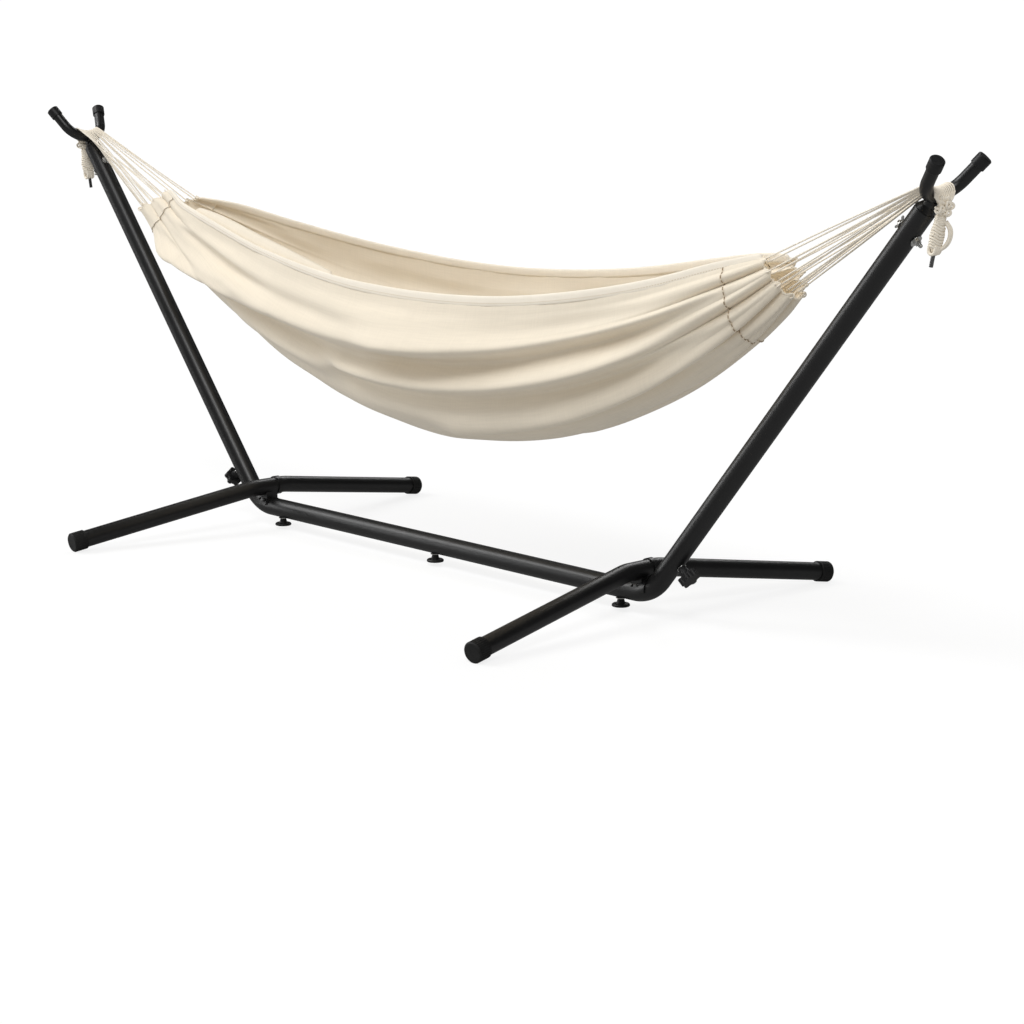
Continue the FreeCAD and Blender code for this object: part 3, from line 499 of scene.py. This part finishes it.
def sheet_mesh(name, s, u, thickness, slot):
    """A closed sheet of cloth over a grid of places on the bed."""
    middle, out = on_bed(BED, s, u), on_bed(NORMAL, s, u) * thickness / 2
    rows, columns = s.shape
    faces, points = [], np.concatenate([(middle + out).reshape(-1, 3), (middle - out).reshape(-1, 3)])
    half = rows * columns
    for i in range(rows - 1):
        for j in range(columns - 1):
            a, b = i * columns + j, i * columns + j + 1
            c, d = b + columns, a + columns
            faces.append((a, b, c, d))
            faces.append((half + d, half + c, half + b, half + a))
    ring = ([(0, j) for j in range(columns)] + [(i, columns - 1) for i in range(1, rows)]
            + [(rows - 1, j) for j in range(columns - 2, -1, -1)] + [(i, 0) for i in range(rows - 2, 0, -1)])
    marks = [i * columns + j for i, j in ring]
    for a, b in zip(marks, marks[1:] + marks[:1]):
        faces.append((b, a, half + a, half + b))
    uv = np.stack([u, s], axis=-1).reshape(-1, 2)
    return add_mesh(name, points, faces, slot, np.concatenate([uv, uv]))


# ---------------------------------------------------------------- the cords

ARM = Vector((math.cos(math.radians(50.8)), 0.0, math.sin(math.radians(50.8))))
HORN_FOOT = Vector((0.6884, 0.0, 0.051)) + ARM * 1.152
HORN_RADIUS, CORD_OD, CORD_FAN = 0.058, 0.0034, math.radians(32.0)
SADDLE_REACH = 0.01705  # from the middle of the fork's tube to the middle of a cord on it
CORNER_REACH = SADDLE_REACH / math.cos(math.radians(30.25))
HANK_TOP, HANK_LEAN, HANK_LENGTH = Vector((1.4385, 0.0, 0.941)), math.radians(11.5), 0.104


def sided(vector, side):
    return Vector((side * vector.x, vector.y, vector.z))


def fork_middle(side, fan):
    """The middle of the fork's tube, at an angle round its bend."""
    rise = ARM * (HORN_RADIUS * (1 - math.cos(fan)))
    return sided(HORN_FOOT + rise, side) + ACROSS * (HORN_RADIUS * math.sin(fan))


def round_fork(side, fan, angle, reach):
    """A place round the fork's tube: the angle is 0 on the outer side and 90 degrees on top."""
    return fork_middle(side, fan) + Vector((side * math.cos(angle), 0, math.sin(angle))) * reach


def hank_place(side, down, across, out):
    """A place in the hank's own frame: metres down its lean, across (Y) and out from its middle."""
    fall = Vector((-math.sin(HANK_LEAN), 0, -math.cos(HANK_LEAN)))
    outward = Vector((math.cos(HANK_LEAN), 0, -math.sin(HANK_LEAN)))
    return sided(HANK_TOP + fall * down + outward * out, side) + ACROSS * across


PAIR_PULL = 0.011  # share of a section by which the cords of a pair lean together at the cloth
TUCK, STRAIGHT = 0.006, 0.020  # a cord's start inside the cloth, and its straight ends
CORD_WANDER = 0.006
TAIL_BULGE = 0.004  # how far the middle tails stand out over the outer ones


def cord_route(side, section, i):
    """One cord's points, from the cloth to the fork and over it, and its tail's, down into the knot."""
    pair_pull = PAIR_PULL * (1 if i % 2 == 0 else -1)
    low = Vector(section_curve(section, np.array([i / (CORDS - 1) + pair_pull]))[0])
    spread = 2.0 * i / (CORDS - 1) - 1
    fan = CORD_FAN * spread
    middle = fork_middle(side, fan)
    run = Vector((middle.x - low.x, 0, middle.z - low.z)).normalized()
    touch = middle + Vector((-side * run.z, 0, abs(run.x))) * SADDLE_REACH
    way = (touch - low).normalized()
    angle = math.atan2(abs(run.x), -run.z)
    across, rise = (noise.noise((i * 1.7, side * 3.0, k)) * CORD_WANDER for k in (0.5, 7.5))
    half_way = low + way * ((touch - low).length * 0.45) + ACROSS * across + UP * rise
    bulge = TAIL_BULGE * (1 - spread * spread)
    run_points = [
        low - way * TUCK, low + way * STRAIGHT, half_way, touch - way * STRAIGHT,
        round_fork(side, fan, angle * 0.75, CORNER_REACH),
        round_fork(side, fan, angle * 0.25, CORNER_REACH),
        round_fork(side, fan * 0.90, math.radians(-22), SADDLE_REACH + 0.001 + bulge),
    ]
    tail_points = [
        round_fork(side, fan * 0.97, math.radians(12), SADDLE_REACH + 0.0005),
        round_fork(side, fan * 0.88, math.radians(-25), SADDLE_REACH + 0.002 + bulge),
        hank_place(side, 0.006, 0.0165 * spread, 0.003 + bulge),
        hank_place(side, 0.016, 0.0125 * spread, 0.003 + bulge),
        hank_place(side, 0.030, 0.007 * spread, 0.0),
    ]
    return run_points, tail_points


for name, side in SIDES:
    section = BED_SECTIONS[0] if side < 0 else BED_SECTIONS[-1]
    tails = []
    for i in range(CORDS):
        run_points, tail_points = cord_route(side, section, i)
        points = route_points(run_points)
        tails.append(route_points(tail_points))
        cord = tubes("%s_cord_%02d" % (name, i + 1), [points], CORD_OD / 2, "cord")
        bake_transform(cord)
        if i == 0:
            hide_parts(name + "_suspension_cords", name + "_saddle_band")
    tails = tubes(name + "_cord_tails", tails, CORD_OD / 2 + 0.0001, "cord")
    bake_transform(tails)


# ---------------------------------------------------------------- the bed, its end bands and hems

u = np.linspace(0, 1, COLUMNS)
rows = np.linspace(0, 1, ROWS)
start = BED_START + scallop(u) + 0.004
end = BED_END - scallop(u) - 0.004
bed_s = start[None, :] + rows[:, None] * (end - start)[None, :]
bed = sheet_mesh("bed_cloth", bed_s, np.broadcast_to(u, bed_s.shape), 0.0016, "canvas")
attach(bed, "hammock")
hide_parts("hammock_bed")

BAND, BAND_ROWS = {"left": 0.075, "right": 0.104}, 40
for name, side in SIDES:
    rows = np.linspace(0, 1, BAND_ROWS)
    edge = BED_START + scallop(u) if side < 0 else BED_END - scallop(u)
    inner = BED_START + BAND[name] if side < 0 else BED_END - BAND[name]
    inner = inner + 0.004 * wander(u * 7.0, [side * 2.0], 4.4)[:, 0]
    band_s = edge[None, :] + rows[:, None] * (inner - edge)[None, :]
    if side > 0:
        band_s = band_s[::-1]
    band = sheet_mesh(name + "_end_band_cloth", band_s, np.broadcast_to(u, band_s.shape), 0.0044, "canvas")
    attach(band, "hammock")
    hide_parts(name + "_end_band")
    seams = []
    for lift in (1, -1):
        line = on_bed(BED, inner, u) + on_bed(NORMAL, inner, u) * lift * 0.0030
        seams.append([Vector(p) for p in line[2:-2]])
    seam = tubes(name + "_end_seam", seams, 0.0011, "hem_cloth", 6)
    # painted stitch shadow: the right seam's stitches are dark brown dashes
    if side > 0:
        seam.data.materials[0] = SEAM_STITCHES_AND_SHADOW
    rim = tubes(name + "_end_rim", [[Vector(p) for p in on_bed(BED, edge, u)]], 0.0026, "canvas")
    loops = []
    for k in range(PAIRS):
        share = (2 * k + 0.5) / (CORDS - 1)
        place = np.array([np.interp(share, u, edge)]) - side * 0.004
        at, out = (Vector(on_bed(table, place, np.array([share]))[0]) for table in (BED, NORMAL))
        way = (fork_middle(side, CORD_FAN * (2 * share - 1)) - at).normalized()
        over = way.cross(out).normalized()
        line = []
        for j in range(10):
            turn = 2 * math.pi * j / 9 + k
            lean = over * (0.0030 * math.cos(turn * 0.5 + k))
            ring = way * (0.0015 + 0.0062 * math.cos(turn)) + out * (0.0052 * math.sin(turn))
            line.append(at + ring + lean)
        loops.append(route_points(line, 5))
    loops = tubes(name + "_cord_loops", loops, 0.0015, "cord", 6)
    for piece in (seam, rim, loops):
        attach(piece, "hammock")

# the hem's section, as steps out of the cloth and up from its edge
HEM_OUTLINE = (
    (0.0024, -0.008), (0.0030, -0.003), (0.0032, 0.004), (0.0030, 0.009),
    (0.0020, 0.0125), (0.0, 0.0135), (-0.0020, 0.0125), (-0.0028, 0.009),
    (-0.0028, 0.002), (-0.0022, -0.005), (-0.0014, -0.009), (0.0012, -0.010),
)


def edge_sweep(name, slot, share, s, outline):
    """A strip along one edge of the bed; outline(row) gives its section there, as in HEM_OUTLINE."""
    shares = np.full_like(s, share)
    middle, out = on_bed(BED, s, shares), on_bed(NORMAL, s, shares)
    rise = on_bed(ACROSS_WAY, s, shares) * (-1 if share == 0 else 1)
    rise /= np.linalg.norm(rise, axis=1, keepdims=True)
    wave = 0.0014 * wander(s * 9.0, [share * 5.0], 2.2)[:, 0]
    wave = wave + 0.0007 * wander(s * 40.0, [share * 5.0], 8.2)[:, 0]
    points, faces, uv = [], [], []
    for k in range(len(s)):
        section = outline(k)
        for across, up in section:
            points.append(middle[k] + out[k] * (across + wave[k]) + rise[k] * up)
            uv.append((up + 0.02 * (across < 0), s[k]))
    count = len(section)
    for k in range(len(s) - 1):
        for j in range(count):
            a, b = k * count + j, k * count + (j + 1) % count
            faces.append((a, b, b + count, a + count))
    faces.append(tuple(reversed(range(count))))
    faces.append(tuple((len(s) - 1) * count + j for j in range(count)))
    strip = add_mesh(name, points, faces, slot, uv)
    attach(strip, "hammock")
    return strip


# how tall the upper part of each hem is along it, as (X, share of HEM_OUTLINE)
HEM_HEIGHTS = {
    "near": ((BED_START, 0.40), (-0.4, 0.48), (0.0, 0.9), (0.6, 1.0), (BED_END, 0.8)),
    "far": ((0.0, 0.8),),
}
for name, share in (("near", 0), ("far", 1)):
    s = np.linspace(BED_START + 0.006, BED_END - 0.006, ROWS)
    tall = np.interp(s, *zip(*HEM_HEIGHTS[name]))
    hem = edge_sweep(name + "_hem_cloth", "hem_cloth", share, s,
                     lambda k: [(across, up * (tall[k] if up > 0 else 1)) for across, up in HEM_OUTLINE])
    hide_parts(name + "_hem")

# the slack inside the near hem on the left, standing a little above it
SLACK_START, SLACK_LENGTH, SLACK_HEIGHT, SLACK_EASE = -0.90, 0.78, 0.022, 12
s = np.linspace(SLACK_START, SLACK_START + SLACK_LENGTH, ROWS // 2)
slack = SLACK_HEIGHT * np.sin(np.pi * np.clip((s - SLACK_START) / SLACK_LENGTH, 0, 1)) ** 0.6


def slack_outline(k):
    """The slack's section at one row, which sinks into the hem at both of its ends."""
    high, ease = slack[k], min(1.0, min(k, len(s) - 1 - k) / SLACK_EASE)
    section = (
        (-0.0035, -0.020), (-0.0045, 0.0),
        (-0.0075 - 0.10 * high, 0.006 + high * 0.7), (-0.012 - 0.22 * high, 0.006 + high),
        (-0.0130 - 0.22 * high, 0.0050 + high), (-0.0090 - 0.10 * high, 0.004 + high * 0.7),
        (-0.0062, 0.0), (-0.0052, -0.020),
    )
    return [(-0.003 + (across + 0.003) * ease, -0.020 + (up + 0.020) * ease) for across, up in section]


edge_sweep("near_slack_fold", "canvas", 0, s, slack_outline)


# ---------------------------------------------------------------- the hanks

def ring_route(side, down, wide, deep, tilt, sag, turns, pitch, seed, start=0.0):
    """Points of a cord wound round the hank, in ellipses that tilt, and sag at their front and back."""
    route = []
    for k in range(turns * 8 + 1):
        turn = start + 2 * math.pi * k / 8
        slack = 1.0 + 0.10 * noise.noise((k * 0.37, seed, side))
        drop = down + pitch * k / 8 + tilt * math.cos(turn) + sag * math.sin(turn) ** 2
        drop += 0.0012 * noise.noise((k * 0.5, seed, 7.0))
        route.append(hank_place(side, drop, wide * slack * math.cos(turn), deep * slack * math.sin(turn)))
    return route


# the bundle's girth as (down, half width, half depth)
BUNDLE = (
    (-0.004, 0.011, 0.005), (0.014, 0.010, 0.006), (0.040, 0.008, 0.005), (0.052, 0.009, 0.006),
    (0.075, 0.0105, 0.0065), (0.096, 0.009, 0.0055), (0.103, 0.004, 0.002),
)
# the knot's rings as (down, half width, half depth, tilt, seed, start)
KNOT_RINGS = (
    (0.010, 0.0150, 0.0100, 0.008, 1.0, 0.4), (0.017, 0.0160, 0.0110, -0.009, 2.0, 1.1),
    (0.026, 0.0150, 0.0105, 0.007, 3.0, 2.0), (0.020, 0.0165, 0.0115, 0.003, 4.0, 0.0),
)
# the knot's small eyes as (across, down, out), and their radius
KNOT_EYES = ((0.0135, 0.014, 0.009), (-0.0125, 0.019, 0.008), (0.004, 0.026, 0.012), (-0.002, 0.010, 0.0125))
EYE = 0.0062
# the side loop as (down, across, out)
SIDE_LOOP = (
    (0.044, 0.006, 0.006), (0.052, 0.012, 0.013), (0.064, 0.014, 0.018),
    (0.080, 0.013, 0.018), (0.094, 0.008, 0.013), (0.100, 0.003, 0.006),
)


def hank(name, side):
    """A hank of cord ends: a knot under the fork, a whipping, crescent wraps, folded ends and a side loop."""
    strands = []
    for k in range(10):
        turn = 2 * math.pi * k / 10
        line = [hank_place(side, down, wide * math.cos(turn), deep * math.sin(turn))
                for down, wide, deep in BUNDLE]
        strands.append(route_points(line, 6))
    bundle = tubes(name + "_hank_bundle", strands, 0.0032, "cord")
    knot = []
    for down, wide, deep, tilt, seed, start in KNOT_RINGS:
        knot.append(route_points(ring_route(side, down, wide, deep, tilt, 0.002, 1, 0.002, seed, start), 6))
    for across, down, out in KNOT_EYES:
        turns = [2 * math.pi * k / 8 + across * 200 for k in range(11)]
        line = [hank_place(side, down + EYE * math.sin(turn), across + EYE * math.cos(turn),
                           out + 0.002 * math.cos(2 * turn)) for turn in turns]
        knot.append(route_points(line, 6))
    knot = tubes(name + "_hank_knot", knot, 0.0027, "cord")
    whip = [route_points(ring_route(side, 0.034, 0.0128, 0.0088, 0.0012, 0.0015, 5, 0.0032, 6.0), 5)]
    whip = tubes(name + "_hank_whipping", whip, 0.0018, "cord")
    wraps = []
    for k in range(9):
        belly = math.sin(math.pi * (k + 1.4) / 11)
        ring = ring_route(side, 0.0485 + 0.0054 * k, 0.0105 + 0.0055 * belly, 0.0070 + 0.0035 * belly,
                          0.0015, 0.0075, 1, 0.0006, 10.0 + k, 0.7 * k)
        wraps.append(route_points(ring, 6))
    wraps = tubes(name + "_hank_wraps", wraps, 0.0028, "cord")
    ends = []
    for k in range(4):
        spread, low = -0.0085 + 0.0055 * k, 0.1085 - 0.001 * (k % 2)
        line = ((0.090, spread, 0.008), (0.100, spread, 0.0085), (low, spread * 1.1, 0.005),
                (low, spread * 1.1, -0.004), (0.100, spread, -0.008), (0.090, spread, -0.007))
        ends.append(route_points([hank_place(side, *place) for place in line], 6))
    ends = tubes(name + "_hank_ends", ends, 0.0031, "cord")
    loops = []
    for shift in (0.0, 0.0058):
        line = [hank_place(side, down, across + shift, out) for down, across, out in SIDE_LOOP]
        loops.append(route_points(line, 8))
    loops = tubes(name + "_hank_loop", loops, 0.0031, "cord")
    for piece in (bundle, knot, whip, wraps, ends, loops):
        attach(piece, name + "_hank_body")
    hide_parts(name + "_hank")


for name, side in SIDES:
    hank(name, side)


# ---------------------------------------------------------------- floor and light

def ray_strength(tree, seen, lighting, mirrored):
    """How bright the studio is to the camera, to the light it casts and to the gloss it shows in."""
    rays = tree.nodes.new("ShaderNodeLightPath")
    strength = lighting
    for ray, level in (("Is Glossy Ray", mirrored), ("Is Camera Ray", seen)):
        mix = tree.nodes.new("ShaderNodeMapRange")
        tree.links.new(rays.outputs[ray], mix.inputs["Value"])
        if isinstance(strength, float):
            mix.inputs["To Min"].default_value = strength
        else:
            tree.links.new(strength, mix.inputs["To Min"])
        mix.inputs["To Max"].default_value = level
        strength = mix.outputs["Result"]
    return strength


FLOOR = 3000.0  # half the floor's side, far past every view
floor_mesh = bpy.data.meshes.new("floor")
corners = [(x * FLOOR, y * FLOOR, 0) for x, y in ((-1, -1), (1, -1), (1, 1), (-1, 1))]
floor_mesh.from_pydata(corners, [], [(0, 1, 2, 3)])
floor = bpy.data.objects.new("floor", floor_mesh)
bpy.context.scene.collection.objects.link(floor)
paper = Nodes("floor", (0.17, 0.17, 0.17), 0.95)
paper.shade(paper.noise(paper.place(False), 0.7), 0.995, 1.005)
paper.shader.inputs["Emission Color"].default_value = (1.0, 1.0, 1.0, 1.0)
paper.tree.links.new(ray_strength(paper.tree, 0.82, 0.34, 0.10), paper.shader.inputs["Emission Strength"])
floor_mesh.materials.append(paper.material)

world = bpy.data.worlds.new("studio")
world.use_nodes = True
surround = world.node_tree.nodes["Background"]
surround.inputs["Color"].default_value = (1.0, 0.99, 0.975, 1.0)
world.node_tree.links.new(ray_strength(world.node_tree, 1.0, 0.40, 0.06), surround.inputs["Strength"])
bpy.context.scene.world = world
bpy.context.scene.view_settings.view_transform = "Standard"


def sun(name, strength, softness, height, azimuth):
    """A soft distant light from a height and a compass direction, in degrees."""
    data = bpy.data.lights.new(name, "SUN")
    data.energy = strength
    data.angle = math.radians(softness)
    lamp = bpy.data.objects.new(name, data)
    lamp.rotation_euler = (math.radians(90 - height), 0, math.radians(azimuth + 90))
    bpy.context.scene.collection.objects.link(lamp)


sun("key", 1.45, 30, 44, -146)
sun("front", 1.05, 18, 48, -48)
sun("low", 0.65, 24, 6, -155)
sun("back", 0.5, 20, 40, 120)
